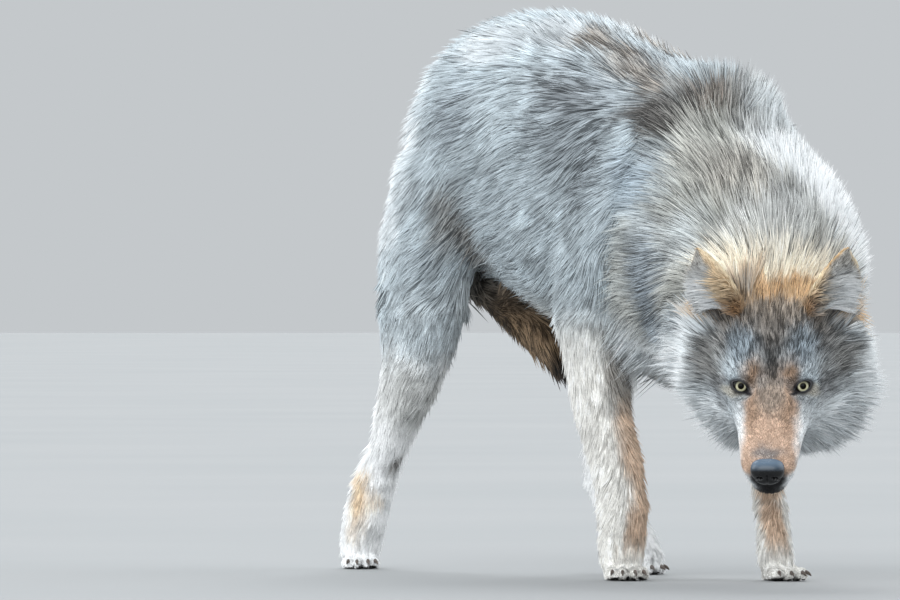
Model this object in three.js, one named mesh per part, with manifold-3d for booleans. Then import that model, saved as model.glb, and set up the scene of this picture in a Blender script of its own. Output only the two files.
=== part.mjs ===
// A grey wolf, life size, standing in a wary pose: back arched, head low and turned to its right, tail tucked.
// Units are millimetres. The wolf faces -Y, its left side is +X and the floor is z = 0.
// Every outline includes the coat, out to the tips of the hair.

import * as THREE from 'three';
import { mergeVertices } from 'three/addons/utils/BufferGeometryUtils.js';
import Module from 'manifold-3d';

const wasm = await Module();
wasm.setup();

// ---------------------------------------------------------------- driving sizes

const cut = 0.35; // gap between neighbouring pieces

const head = {
  eyes: [-132, -334, 268], // midpoint between the eyeballs
  yaw: -41, // degrees, towards the wolf's right
  pitch: 36, // degrees, nose down
};
const eye = { apart: 81, radius: 12.5, back: -7, gaze: 37, lids: [11.5, 15, 8.5] };
const nosePad = { width: 44, height: 34, depth: 30, at: [0, -124, -51] };
const mouth = { line: -77, corner: -36 }; // height of the lip line and how far back it runs
const ear = { base: [66, 84, 52], length: 112, width: 35, depth: 23, wall: 6 };
const toe = { wide: 11.5, long: 21, high: 13 };
const claw = { long: 13, thick: 3.4 };

const colours = {
  back: 0x8f8f8b,
  flank: 0xa9a7a0,
  mane: 0xb5b2a8,
  face: 0x8d8372,
  throat: 0xd8d4ca,
  pale: 0xd9d0be,
  tan: 0xc0a07c,
  dark: 0x1a1a1c,
  amber: 0xcdbb6a,
  horn: 0x2c2723,
};

// ---------------------------------------------------------------- shaping

// Catmull-Rom through rows of numbers: row t = 0, 1, 2 ... is met exactly.
function between(rows, t) {
  const last = rows.length - 1;
  const i = Math.min(Math.floor(t), last - 1);
  const f = t - i;
  const row = (k) => rows[Math.max(0, Math.min(last, k))];
  const [a, b, c, d] = [row(i - 1), row(i), row(i + 1), row(i + 2)];
  return b.map((_, k) => {
    const bend = 2 * a[k] - 5 * b[k] + 4 * c[k] - d[k];
    const cubic = 3 * b[k] - a[k] - 3 * c[k] + d[k];
    return 0.5 * (2 * b[k] + (c[k] - a[k]) * f + bend * f * f + cubic * f * f * f);
  });
}

const steps = (from, to, count) => Array.from({ length: count + 1 }, (_, i) => from + ((to - from) * i) / count);

// A closed body through sections [x, y, z, side, upper, lower]: a centre, then half sizes to the side,
// towards `up` and away from it. `along` fixes the direction square to the sections; without it they are
// square to the centre line. `stops` are the places on the line that get a ring, or the number of rings over
// all of it. `round` gives the lengths of the rounded ends, 0 for a flat one.
function loft(sections, { up, along, stops = 8, sides = 12, round = [0, 0], grow = 0, square = 2.2 }) {
  const rings = Array.isArray(stops) ? stops : steps(0, sections.length - 1, stops);
  const [from, end] = [rings[0], rings.at(-1)];
  const places = rings.map((t) => ({ t, out: 0, scale: 1 }));
  const capSteps = 2;
  const addCap = (t, length, sign) => {
    const cap = [];
    for (let k = 1; k < capSteps; k++) {
      const angle = (k / capSteps) * Math.PI * 0.5;
      cap.push({ t, out: sign * length * Math.sin(angle), scale: Math.cos(angle) });
    }
    return cap;
  };
  if (round[0]) places.unshift(...addCap(from, round[0], -1).reverse());
  else if (grow) places.unshift({ t: from, out: -grow, scale: 1 });
  if (round[1]) places.push(...addCap(end, round[1], 1));
  else if (grow) places.push({ t: end, out: grow, scale: 1 });

  const vertices = [];
  const pole = (t, out) => {
    const [x, y, z] = between(sections, t);
    const direction = axisAt(sections, t, along);
    return new THREE.Vector3(x, y, z).addScaledVector(direction, out);
  };
  for (const { t, out, scale } of places) {
    const [x, y, z, side, upper, lower] = between(sections, t);
    const direction = axisAt(sections, t, along);
    const upward = up.clone().addScaledVector(direction, -up.dot(direction)).normalize();
    const sideward = upward.clone().cross(direction);
    const centre = new THREE.Vector3(x, y, z).addScaledVector(direction, out);
    for (let j = 0; j < sides; j++) {
      const angle = (2 * Math.PI * j) / sides;
      const [c, s] = [Math.cos(angle), Math.sin(angle)];
      const across = Math.sign(c) * Math.abs(c) ** (2 / square) * (side * scale + grow);
      const rise = Math.sign(s) * Math.abs(s) ** (2 / square) * ((s > 0 ? upper : lower) * scale + grow);
      const point = centre.clone().addScaledVector(sideward, across).addScaledVector(upward, rise);
      vertices.push(point.x, point.y, point.z);
    }
  }
  const count = places.length;
  const first = pole(from, -(round[0] + grow));
  const last = pole(end, round[1] + grow);
  vertices.push(first.x, first.y, first.z, last.x, last.y, last.z);

  const faces = [];
  const at = (i, j) => i * sides + (j % sides);
  for (let i = 0; i < count - 1; i++) {
    for (let j = 0; j < sides; j++) {
      faces.push(at(i, j), at(i, j + 1), at(i + 1, j));
      faces.push(at(i, j + 1), at(i + 1, j + 1), at(i + 1, j));
    }
  }
  for (let j = 0; j < sides; j++) {
    faces.push(count * sides, at(0, j + 1), at(0, j));
    faces.push(count * sides + 1, at(count - 1, j), at(count - 1, j + 1));
  }
  const geometry = new THREE.BufferGeometry();
  geometry.setAttribute('position', new THREE.Float32BufferAttribute(vertices, 3));
  geometry.setIndex(faces);
  return geometry;
}

function axisAt(sections, t, along) {
  if (along) return along.clone().normalize();
  const step = 0.05;
  const last = sections.length - 1;
  const a = between(sections, Math.max(0, t - step));
  const b = between(sections, Math.min(last, t + step));
  return new THREE.Vector3(b[0] - a[0], b[1] - a[1], b[2] - a[2]).normalize();
}

// An egg of half sizes [x, y, z] about a point.
function egg(at, half, detail = 12) {
  const geometry = new THREE.SphereGeometry(1, detail, Math.round(detail * 0.7));
  return geometry.scale(...half).translate(...at);
}

function block(at, size) {
  return new THREE.BoxGeometry(...size).translate(...at);
}

// ---------------------------------------------------------------- solids

function solid(geometry, matrix) {
  const bare = geometry.clone();
  bare.deleteAttribute('normal');
  bare.deleteAttribute('uv');
  if (matrix) bare.applyMatrix4(matrix);
  const merged = mergeVertices(bare, 1e-3);
  return new wasm.Manifold(
    new wasm.Mesh({
      numProp: 3,
      vertProperties: new Float32Array(merged.attributes.position.array),
      triVerts: new Uint32Array(merged.index.array),
    }),
  );
}

const matrixRows = (m) => m.elements;

function largest(made) {
  return made.decompose().sort((a, b) => b.volume() - a.volume())[0];
}

function piece(name, made, colour, { roughness = 0.85, metalness = 0 } = {}) {
  const { vertProperties, triVerts } = largest(made).getMesh();
  const geometry = new THREE.BufferGeometry();
  geometry.setAttribute('position', new THREE.BufferAttribute(new Float32Array(vertProperties), 3));
  geometry.setIndex(new THREE.BufferAttribute(new Uint32Array(triVerts), 1));
  geometry.computeVertexNormals();
  const mesh = new THREE.Mesh(geometry, new THREE.MeshStandardMaterial({ color: colour, roughness, metalness }));
  mesh.name = name;
  return mesh;
}

const Y = new THREE.Vector3(0, 1, 0);
const Z = new THREE.Vector3(0, 0, 1);
const forward = Y.clone().negate();
const down = Z.clone().negate();

// ---------------------------------------------------------------- trunk and neck

// [y, top, bottom, half width]
const trunkLine = [
  [-120, 600, 300, 100],
  [-60, 664, 262, 138],
  [0, 690, 250, 154],
  [90, 710, 268, 160],
  [180, 742, 300, 162],
  [270, 768, 332, 160],
  [360, 778, 368, 154],
  [450, 773, 408, 146],
  [530, 748, 440, 134],
  [590, 700, 462, 110],
  [628, 638, 486, 72],
];

function trunkBody() {
  const sections = trunkLine.map(([y, top, bottom, side]) => {
    const middle = bottom + (top - bottom) * 0.52;
    return [0, y, middle, side, top - middle, middle - bottom];
  });
  return solid(loft(sections, { up: Z, along: Y, stops: 12, sides: 18, round: [40, 26], square: 2.15 }));
}

const neckSections = [
  [0, 70, 470, 138, 190, 176],
  [2, -10, 452, 162, 194, 184],
  [-9, -90, 424, 165, 180, 172],
  [-30, -165, 394, 156, 160, 158],
  [-54, -225, 366, 140, 132, 146],
  [-72, -268, 344, 112, 98, 128],
];
const neckAxis = new THREE.Vector3(-0.2, -0.86, -0.42);

const neckBody = (grow = 0) =>
  solid(loft(neckSections, { up: Z, along: neckAxis, stops: 5, sides: 18, round: [20, 30], grow }));

// ---------------------------------------------------------------- head, in its own frame: nose towards -Y

const headSections = [
  [0, 165, -22, 108, 94, 120],
  [0, 122, -18, 127, 90, 156],
  [0, 80, -14, 130, 80, 164],
  [0, 44, -10, 114, 65, 148],
  [0, 16, -8, 87, 50, 112],
  [0, -10, -12, 64, 34, 82],
  [0, -36, -22, 50, 20, 66],
  [0, -72, -36, 43, 17, 56],
  [0, -104, -46, 39.5, 18, 51],
  [0, -118, -50, 33, 17, 48],
];

const headBody = (grow = 0) =>
  solid(loft(headSections, { up: Z, along: forward, stops: 11, sides: 18, round: [34, 9], grow, square: 2.1 }));

function noseBody(grow = 0) {
  const { width, height, depth, at } = nosePad;
  return solid(egg(at, [width / 2 + grow, depth / 2 + grow, height / 2 + grow], 12));
}

const eyeBody = (side, grow = 0) =>
  solid(egg([(side * eye.apart) / 2, eye.back, 0], Array(3).fill(eye.radius + grow), 12));

// The opening between the lids, pointing where the eye looks.
function lidOpening(side) {
  const opening = egg([0, -eye.radius, 0], eye.lids, 8).rotateX(-THREE.MathUtils.degToRad(eye.gaze));
  return solid(opening.translate((side * eye.apart) / 2, eye.back, 0));
}

// A pricked ear: a leaf that is scooped out in front and turned a little outwards.
function earBody(side, grow = 0) {
  const { base, length, width, depth, wall } = ear;
  const leaf = (shrink, shift) => {
    const wide = width - shrink;
    const deep = depth - shrink * 0.5;
    const sections = [
      [0, shift, -18, wide * 0.9, deep, deep * 0.9],
      [1, shift, 14, wide, deep * 0.95, deep * 0.8],
      [3, shift + 1, 48, wide * 0.94, deep * 0.72, deep * 0.62],
      [4, shift + 3, 80, wide * 0.66, deep * 0.46, deep * 0.44],
      [3, shift + 6, length - 10 - shrink, wide * 0.22, deep * 0.22, deep * 0.22],
    ];
    return solid(loft(sections, { up: forward, along: Z, stops: 5, sides: 10, round: [0, 8], grow }));
  };
  const cup = grow ? leaf(0, 0) : leaf(0, 0).subtract(leaf(wall * 1.5, -depth * 0.62));
  const placed = new THREE.Matrix4()
    .makeTranslation(side * base[0], base[1], base[2])
    .multiply(new THREE.Matrix4().makeRotationY(THREE.MathUtils.degToRad(side * 18)))
    .multiply(new THREE.Matrix4().makeRotationX(THREE.MathUtils.degToRad(4)))
    .multiply(new THREE.Matrix4().makeRotationZ(THREE.MathUtils.degToRad(side * 24)));
  return cup.transform(matrixRows(placed));
}

// Everything below the lip line and in front of the mouth's corner.
function jawSpace(grow = 0) {
  const reach = 200;
  const back = mouth.corner + grow;
  const top = mouth.line + grow;
  return solid(block([0, back - reach / 2, top - reach / 2], [reach, reach, reach]));
}

function buildHead() {
  const group = new THREE.Group();
  group.position.set(...head.eyes);
  group.rotation.set(THREE.MathUtils.degToRad(head.pitch), 0, THREE.MathUtils.degToRad(head.yaw), 'ZXY');
  let skull = headBody().subtract(noseBody(cut)).subtract(jawSpace(cut));
  const jaw = headBody().intersect(jawSpace()).subtract(noseBody(cut));
  for (const side of [1, -1]) skull = skull.subtract(eyeBody(side, cut)).subtract(lidOpening(side));
  group.add(piece('head', skull, colours.face));
  group.add(piece('lower_jaw', jaw, colours.throat));
  group.add(piece('nose', noseBody(), colours.dark, { roughness: 0.35 }));
  for (const [side, word] of [[1, 'left'], [-1, 'right']]) {
    group.add(piece(`eye_${word}`, eyeBody(side), colours.amber, { roughness: 0.1 }));
    group.add(piece(`ear_${word}`, earBody(side).subtract(headBody(cut)), colours.tan));
  }
  group.updateMatrixWorld(true);
  return group;
}

// ---------------------------------------------------------------- legs: level sections [x, y, z, side, front, back]

const legs = {
  fore_right: {
    sections: [
      [-92, 25, 610, 40, 62, 70],
      [-108, 35, 530, 58, 92, 100],
      [-113, 55, 450, 60, 92, 100],
      [-109, 94, 375, 52, 66, 84],
      [-103, 107, 315, 43, 48, 60],
      [-98, 106, 250, 37, 43, 50],
      [-95, 89, 190, 35, 43, 47],
      [-93, 66, 140, 32, 39, 42],
      [-91, 62, 95, 31, 35, 40],
      [-90, 66, 55, 31, 33, 34],
      [-89, 70, 22, 29, 30, 28],
    ],
    joints: [3.2, 7.6],
    names: ['upper_arm', 'forearm', 'paw'],
    foot: { at: [-89, 60], turn: -30, size: 1 },
  },
  fore_left: {
    sections: [
      [92, 10, 610, 40, 62, 70],
      [108, 10, 530, 58, 88, 95],
      [112, 22, 450, 58, 86, 92],
      [105, 45, 375, 46, 58, 70],
      [97, 42, 315, 37, 42, 54],
      [89, 20, 250, 31, 34, 44],
      [82, -10, 190, 26, 31, 36],
      [76, -34, 140, 22, 26, 29],
      [73, -52, 95, 20, 23, 25],
      [72, -60, 55, 22, 24, 26],
      [72, -64, 22, 25, 26, 26],
    ],
    joints: [3.2, 7.6],
    names: ['upper_arm', 'forearm', 'paw'],
    foot: { at: [73, -69], turn: -10, size: 0.95 },
  },
  hind_right: {
    sections: [
      [-70, 480, 655, 44, 70, 70],
      [-84, 490, 590, 64, 100, 104],
      [-96, 500, 510, 70, 118, 120],
      [-103, 517, 430, 62, 112, 112],
      [-104, 536, 370, 52, 106, 100],
      [-101, 548, 307, 45, 82, 80],
      [-97, 574, 251, 36, 57, 55],
      [-93, 615, 188, 28, 36, 36],
      [-92, 660, 128, 26, 33, 40],
      [-92, 686, 72, 27, 38, 42],
      [-92, 703, 20, 26, 30, 30],
    ],
    joints: [3.9, 7.9],
    names: ['thigh', 'shin', 'foot'],
    foot: { at: [-96, 698], turn: -28, size: 0.9 },
  },
  hind_left: {
    sections: [
      [70, 472, 655, 44, 70, 70],
      [80, 462, 590, 62, 100, 104],
      [86, 425, 510, 64, 112, 108],
      [88, 380, 430, 56, 92, 92],
      [86, 342, 360, 46, 66, 74],
      [83, 330, 300, 37, 48, 54],
      [80, 338, 240, 30, 38, 43],
      [78, 346, 185, 27, 33, 38],
      [77, 344, 145, 27, 34, 40],
      [77, 320, 100, 27, 38, 38],
      [77, 284, 60, 27, 36, 36],
      [77, 256, 26, 26, 36, 34],
    ],
    joints: [3.9, 8.2],
    names: ['thigh', 'shin', 'foot'],
    foot: { at: [77, 264], turn: -6, size: 0.9 },
  },
};

// The rings of a leg, one list for each of its three pieces, with a gap between them.
function legStops({ sections, joints }) {
  const ends = [0, ...joints, sections.length - 1];
  return [3, 4, 3].map((count, i) => steps(ends[i] + (i ? cut / 60 : 0), ends[i + 1], count));
}

function legBody(leg, stops, { grow = 0, round = [0, 0] } = {}) {
  return solid(loft(leg.sections, { up: forward, along: down, stops, sides: 12, round, grow }));
}

// Each toe's place across and along the paw, and how far it points outwards.
const toes = [
  { across: -21, ahead: -22, turn: 14 },
  { across: -8.5, ahead: -36, turn: 4 },
  { across: 8.5, ahead: -36, turn: -4 },
  { across: 21, ahead: -22, turn: -14 },
];

// A toe in the paw's own frame: toes towards -Y, floor at z = 0.
const toeBody = ({ across, ahead }, grow = 0) =>
  solid(egg([across, ahead, toe.high - 2], [toe.wide + grow, toe.long + grow, toe.high + grow], 7));

const footShape = () => toes.map((place) => toeBody(place)).reduce((all, next) => all.add(next));

// A claw bends down from the tip of its toe and ends clear of the floor.
function clawBody(place) {
  const { across, ahead, turn } = place;
  const thick = (share) => [claw.thick * share, claw.thick * share * 1.35, claw.thick * share * 1.35];
  const swing = Math.sin(THREE.MathUtils.degToRad(turn));
  const start = ahead - toe.long + 4;
  const sections = [
    [across, start, 13, ...thick(1)],
    [across - swing * claw.long * 0.5, start - claw.long * 0.5, 11.5, ...thick(0.85)],
    [across - swing * claw.long, start - claw.long, 7, ...thick(0.45)],
  ];
  return toes.reduce((rest, other) => rest.subtract(toeBody(other, cut)), solid(loft(sections, { up: Z, stops: 2, sides: 6 })));
}

function footMatrix({ at, turn, size }) {
  return new THREE.Matrix4()
    .makeTranslation(at[0], at[1], 0)
    .multiply(new THREE.Matrix4().makeRotationZ(THREE.MathUtils.degToRad(turn)))
    .multiply(new THREE.Matrix4().makeScale(size, size, size));
}

const underFloor = () => solid(block([0, 200, -150], [1200, 2000, 300]));

// ---------------------------------------------------------------- tail, tucked between the hind legs

const tailSections = [
  [0, 602, 560, 34, 34, 34],
  [0, 622, 505, 38, 38, 38],
  [0, 606, 448, 36, 38, 38],
  [0, 556, 405, 34, 38, 38],
  [-4, 490, 378, 32, 38, 38],
  [-6, 420, 352, 31, 36, 36],
  [-6, 362, 318, 28, 30, 30],
  [-6, 326, 284, 20, 20, 20],
];

const tailBody = (grow = 0) =>
  solid(loft(tailSections, { up: Y, stops: 10, sides: 10, round: [16, 26], grow, square: 2 }));

// ---------------------------------------------------------------- assembly

function buildWolf() {
  const wolf = new THREE.Group();
  const headGroup = buildHead();
  const headWorld = matrixRows(headGroup.matrixWorld);
  const headOutsides = [headBody(cut), earBody(1, cut), earBody(-1, cut)].map((made) => made.transform(headWorld));

  // The upper legs lie on the trunk, so the trunk, the neck and the tail give way to them.
  const legOutsides = Object.values(legs).map((leg) => {
    return legBody(leg, legStops(leg).slice(0, 2).flat(), { grow: cut, round: [24, 0] });
  });
  const giveWay = (made, others) => others.reduce((rest, other) => rest.subtract(other), made);

  wolf.add(headGroup);
  wolf.add(piece('trunk', giveWay(trunkBody(), [...legOutsides, tailBody(cut), neckBody(cut)]), colours.flank));
  wolf.add(piece('neck', giveWay(neckBody(), [...headOutsides, ...legOutsides]), colours.mane));
  wolf.add(piece('tail', giveWay(tailBody(), legOutsides), colours.back));

  for (const [legName, leg] of Object.entries(legs)) {
    const [upper, lower, foot] = legStops(leg);
    const place = matrixRows(footMatrix(leg.foot));
    const paws = legBody(leg, foot, { round: [0, 32] }).add(footShape().transform(place)).subtract(underFloor());
    wolf.add(piece(`${leg.names[0]}_${legName}`, legBody(leg, upper, { round: [24, 0] }), colours.flank));
    wolf.add(piece(`${leg.names[1]}_${legName}`, legBody(leg, lower), colours.pale));
    wolf.add(piece(`${leg.names[2]}_${legName}`, paws, colours.pale));

    const footGroup = new THREE.Group();
    footGroup.position.set(leg.foot.at[0], leg.foot.at[1], 0);
    footGroup.rotation.z = THREE.MathUtils.degToRad(leg.foot.turn);
    footGroup.scale.setScalar(leg.foot.size);
    toes.forEach((place, k) => {
      footGroup.add(piece(`claw_${legName}_${k + 1}`, clawBody(place), colours.horn, { roughness: 0.4 }));
    });
    wolf.add(footGroup);
  }
  // The origin is the floor point under the middle of the whole wolf.
  const box = new THREE.Box3().setFromObject(wolf, true);
  wolf.position.set(-(box.min.x + box.max.x) / 2, -(box.min.y + box.max.y) / 2, -box.min.z);
  return wolf;
}

export default buildWolf();
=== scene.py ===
# A grey wolf, life size: one skin over the solids, a coat of mesh tufts, eyes, nose and claws.
# Metres, +Z up. The wolf faces -Y and its left side is +X.

import math

import bmesh
import bpy
import numpy as np
from mathutils import Matrix, Vector
from mathutils.bvhtree import BVHTree
from mathutils.kdtree import KDTree


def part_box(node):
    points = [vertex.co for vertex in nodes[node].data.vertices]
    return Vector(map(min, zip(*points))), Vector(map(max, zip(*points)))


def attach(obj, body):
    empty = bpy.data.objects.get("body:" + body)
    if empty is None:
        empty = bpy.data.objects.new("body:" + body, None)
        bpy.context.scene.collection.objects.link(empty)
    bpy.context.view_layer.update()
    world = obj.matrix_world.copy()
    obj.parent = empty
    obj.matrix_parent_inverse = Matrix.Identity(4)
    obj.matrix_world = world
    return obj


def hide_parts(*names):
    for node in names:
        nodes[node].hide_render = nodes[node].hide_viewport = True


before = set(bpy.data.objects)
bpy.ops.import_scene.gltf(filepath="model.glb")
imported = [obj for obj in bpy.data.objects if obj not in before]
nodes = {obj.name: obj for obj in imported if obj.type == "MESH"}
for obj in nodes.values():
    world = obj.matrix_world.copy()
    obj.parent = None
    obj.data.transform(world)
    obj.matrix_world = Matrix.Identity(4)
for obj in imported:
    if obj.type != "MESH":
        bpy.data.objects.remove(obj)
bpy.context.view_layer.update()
dice = np.random.default_rng(7)
mm = 0.001
middleX = 27  # mm, the body's middle plane

# small helpers


def linear(code):
    # sRGB hex to linear RGB
    parts = [int(code[k : k + 2], 16) / 255 for k in (0, 2, 4)]
    return np.array([p / 12.92 if p <= 0.04045 else ((p + 0.055) / 1.055) ** 2.4 for p in parts])


def ease(low, high, values):
    t = np.clip((values - low) / (high - low), 0, 1)
    return t * t * (3 - 2 * t)


def unit(vectors):
    vectors = np.asarray(vectors, float)
    return vectors / np.maximum(np.linalg.norm(vectors, axis=-1, keepdims=True), 1e-9)


def readArray(items, field, width, kind=float):
    out = np.empty(len(items) * width, kind)
    items.foreach_get(field, out)
    return out.reshape(-1, width) if width > 1 else out


def newObject(name, mesh):
    made = bpy.data.objects.new(name, mesh)
    bpy.context.scene.collection.objects.link(made)
    return made


def meshOf(bm, name):
    mesh = bpy.data.meshes.new(name)
    bm.to_mesh(mesh)
    bm.free()
    return mesh


def movePoints(mesh, points):
    mesh.vertices.foreach_set("co", points.ravel())
    mesh.update()


def evaluated(made):
    # the mesh after its modifiers
    graph = bpy.context.evaluated_depsgraph_get()
    return bpy.data.meshes.new_from_object(made.evaluated_get(graph))


def addNode(tree, kind, links=(), **settings):
    # one node with its settings and its input links: (socket, source) pairs
    node = tree.nodes.new(kind)
    for key, value in settings.items():
        if hasattr(node, key):
            setattr(node, key, value)
        else:
            node.inputs[key.replace("_", " ")].default_value = value
    for socket, source in links:
        tree.links.new(source, node.inputs[socket])
    return node


def newMaterial(name):
    made = bpy.data.materials.new(name)
    made.use_nodes = True
    made.node_tree.nodes.clear()
    return made, made.node_tree


def setStops(ramp, stops):
    items = ramp.color_ramp.elements
    while len(items) < len(stops):
        items.new(0.5)
    for item, (place, code) in zip(items, stops):
        item.position = place
        item.color = (*linear(code), 1)


def finishMaterial(tree, surface, links, **sockets):
    shader = addNode(tree, "ShaderNodeBsdfPrincipled", links, **sockets)
    addNode(tree, "ShaderNodeOutputMaterial", [("Surface", shader.outputs[0])])
    return surface


# camera, light and floor

# metres, degrees, mm
view = {"place": (-6.922, -9.847, 0.376), "azimuth": -34, "lens": 355.2}


def makeCamera():
    data = bpy.data.cameras.new("camera")
    data.lens = view["lens"]
    data.sensor_width = 36
    data.clip_end = 200
    made = newObject("camera", data)
    made.location = view["place"]
    made.rotation_euler = (math.radians(90), 0, math.radians(view["azimuth"]))
    bpy.context.scene.camera = made


lamps = {
    # azimuth and height seen from the wolf in degrees, watts per square metre, softness in degrees
    "sky_front": (-50, 22, 2.3, 60),
    "sky_side": (60, 26, 1.4, 70),
    "sky_back": (150, 44, 2.5, 50),
    "sky_rump": (-125, 28, 1.6, 50),
}


def makeLights():
    for name, (azimuth, height, power, softness) in lamps.items():
        data = bpy.data.lights.new(name, "SUN")
        data.energy = power
        data.angle = math.radians(softness)
        data.color = (0.95, 0.98, 1.0)
        a, e = math.radians(azimuth), math.radians(height)
        out = Vector((math.sin(a) * math.cos(e), -math.cos(a) * math.cos(e), math.sin(e)))
        made = newObject(name, data)
        made.location = out * 8
        made.rotation_mode = "QUATERNION"
        made.rotation_quaternion = (-out).to_track_quat("-Z", "Y")
    world = bpy.data.worlds.new("studio")
    world.use_nodes = True
    shade = world.node_tree.nodes["Background"]
    shade.inputs["Color"].default_value = (*linear("c4c8cb"), 1)
    shade.inputs["Strength"].default_value = 1.0
    bpy.context.scene.world = world
    bpy.context.scene.view_settings.view_transform = "Standard"


def makeFloor():
    # pale painted studio floor: matt, with faint cloudy tone from the roller
    made, tree = newMaterial("painted_floor")
    place = addNode(tree, "ShaderNodeTexCoord")
    cloud = addNode(tree, "ShaderNodeTexNoise", [("Vector", place.outputs["Object"])], Scale=0.8)
    ramp = addNode(tree, "ShaderNodeValToRGB", [("Fac", cloud.outputs["Fac"])])
    setStops(ramp, [(0.3, "959798"), (0.7, "999a9b")])
    links = [("Base Color", ramp.outputs["Color"])]
    finishMaterial(tree, made, links, Roughness=0.85, Specular_IOR_Level=0.1)
    bm = bmesh.new()
    bmesh.ops.create_circle(bm, cap_ends=True, segments=96, radius=90)
    floor = newObject("floor", meshOf(bm, "floor"))
    floor.data.materials.append(made)


makeCamera()
makeLights()
makeFloor()
print("stage: camera, lights, floor")

# the head's own axes, worked out from the eyeballs

headPose = {"pitch": 36, "eyeBack": -7}  # degrees; the eyes' place on the head's back axis, mm


def middle(name):
    low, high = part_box(name)
    return (np.array(low) + np.array(high)) / 2


eyeRight, eyeLeft = middle("eye_right"), middle("eye_left")
headYaw = math.atan2(eyeLeft[1] - eyeRight[1], eyeLeft[0] - eyeRight[0])
headTurn = Matrix.Rotation(headYaw, 3, "Z") @ Matrix.Rotation(math.radians(headPose["pitch"]), 3, "X")
headAxes = np.array(headTurn)  # columns: the head's left, back and up
headPlace = (eyeLeft + eyeRight) / 2 - headAxes[:, 1] * headPose["eyeBack"] * mm
eyeApart = np.linalg.norm(eyeLeft - eyeRight) / mm
eyeRadius = (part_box("eye_left")[1][2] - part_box("eye_left")[0][2]) / 2 / mm


def toHead(points):
    # world metres to head millimetres
    return (points - headPlace) @ headAxes / mm


def fromHead(points):
    return np.asarray(points) @ headAxes.T * mm + headPlace


earPose = {"base": (66, 84, 52), "lean": 18, "back": 4, "turn": 24}  # head mm, degrees


def earAxes(side):
    turn = Matrix.Rotation(math.radians(side * earPose["lean"]), 3, "Y")
    turn = turn @ Matrix.Rotation(math.radians(earPose["back"]), 3, "X")
    turn = turn @ Matrix.Rotation(math.radians(side * earPose["turn"]), 3, "Z")
    return np.array(turn)


def toEar(head, side):
    # head millimetres to the ear's own: x across (outwards positive), y back, z to the tip
    base = np.array(earPose["base"]) * (side, 1, 1)
    local = (head - base) @ earAxes(side)
    return local * (side, 1, 1)


# half sizes of the slit in mm, the power of its curve, its tilt in degrees
lidShape = {"across": 10.8, "upper": 6.3, "lower": 6.7, "power": 1.75, "tilt": 24, "outward": 0.13}


def lidAxes(side):
    # columns: outwards along the slit, up, and out of the face
    out = unit((side * lidShape["outward"], -0.80, 0.58))
    along = unit(np.array((side, 0, 0)) - out * out[0] * side)
    up = np.cross(out, along) * side
    tilt = math.radians(lidShape["tilt"])
    c, s = math.cos(tilt), math.sin(tilt)
    return np.stack([along * c + up * s, up * c - along * s, out], 1)


def slit(x, y):
    # 1 on the lids' edge, less inside the opening
    power = lidShape["power"]
    tall = np.where(y > 0, lidShape["upper"], lidShape["lower"])
    return (np.abs(x / lidShape["across"]) ** power + np.abs(y / tall) ** power) ** (1 / power)


def eyeCentre(side):
    return np.array((side * eyeApart / 2, headPose["eyeBack"], 0))


def toLid(head, side):
    return (head - eyeCentre(side)) @ lidAxes(side)


def fromLid(local, side):
    return np.asarray(local) @ lidAxes(side).T + eyeCentre(side)


# skin: the flesh solids joined, smoothed and sunk by the depth of the coat

# depth of the coat, length and width of a tuft, mm; its rise in radians; how closely tufts are set
coats = {
    "trunk": (20, 46, 1.05, 0.36, 15),
    "neck": (27, 58, 1.05, 0.42, 17),
    "head": (9, 15, 0.9, 0.36, 60),
    "lower_jaw": (3, 7, 0.7, 0.22, 80),
    "ear": (1.2, 8, 0.7, 0.26, 75),
    "upper_arm": (14, 34, 1.0, 0.34, 19),
    "thigh": (16, 40, 1.0, 0.34, 17),
    "forearm": (7, 24, 0.85, 0.24, 30),
    "shin": (8, 26, 0.9, 0.26, 27),
    "paw": (3.5, 16, 0.8, 0.18, 42),
    "foot": (4, 18, 0.8, 0.18, 40),
    "tail": (14, 46, 1.1, 0.34, 19),
}
skinSize = {"voxel": 3.0, "grow": 0.4, "faces": 150000}
# how readily the skin's bumps are smoothed away, 0.3 for the rest
softness = {"trunk": 0.5, "neck": 0.5, "upper_arm": 0.5, "thigh": 0.5, "tail": 0.5, "head": 0.35,
            "ear": 0.07, "paw": 0.08, "foot": 0.08}

fleshNames = [name for name in nodes if not name.startswith("claw_")]
families = list(coats)
headAt = families.index("head")  # eyes and nose count as head
familyOf = {
    name: next((k for k, part in enumerate(families) if name.startswith(part)), headAt)
    for name in fleshNames
}


def joinFlesh():
    bm = bmesh.new()
    for name in fleshNames:
        bm.from_mesh(nodes[name].data)
    bmesh.ops.remove_doubles(bm, verts=bm.verts, dist=0.01 * mm)
    bm.normal_update()
    for vert in bm.verts:
        vert.co += vert.normal * skinSize["grow"] * mm  # closes the hairline gaps between solids
    return meshOf(bm, "flesh")


def makeFleshTree():
    points, faces, owners = [], [], []
    for name in fleshNames:
        mesh = nodes[name].data
        mesh.calc_loop_triangles()
        start = len(points)
        points += [vert.co[:] for vert in mesh.vertices]
        faces += [[start + k for k in tri.vertices] for tri in mesh.loop_triangles]
        owners += [fleshNames.index(name)] * len(mesh.loop_triangles)
    return BVHTree.FromPolygons(points, faces), np.array(owners)


flesh, fleshOwner = makeFleshTree()
footNames = [name for name in fleshNames if name.startswith(("paw", "foot"))]


def clawNames(foot):
    return [f"claw_{foot.split('_', 1)[1]}_{k}" for k in range(1, 5)]


def footAxes(foot):
    # across and ahead on the floor, from the row of its claws
    row = middle(clawNames(foot)[3]) - middle(clawNames(foot)[0])
    across = unit((row[0], row[1], 0))
    ahead = np.cross(across, (0, 0, 1))
    return across, ahead * -np.sign(ahead[1])


def ownersOf(points):
    return fleshOwner[[flesh.find_nearest(point)[2] for point in points.tolist()]]


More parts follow.
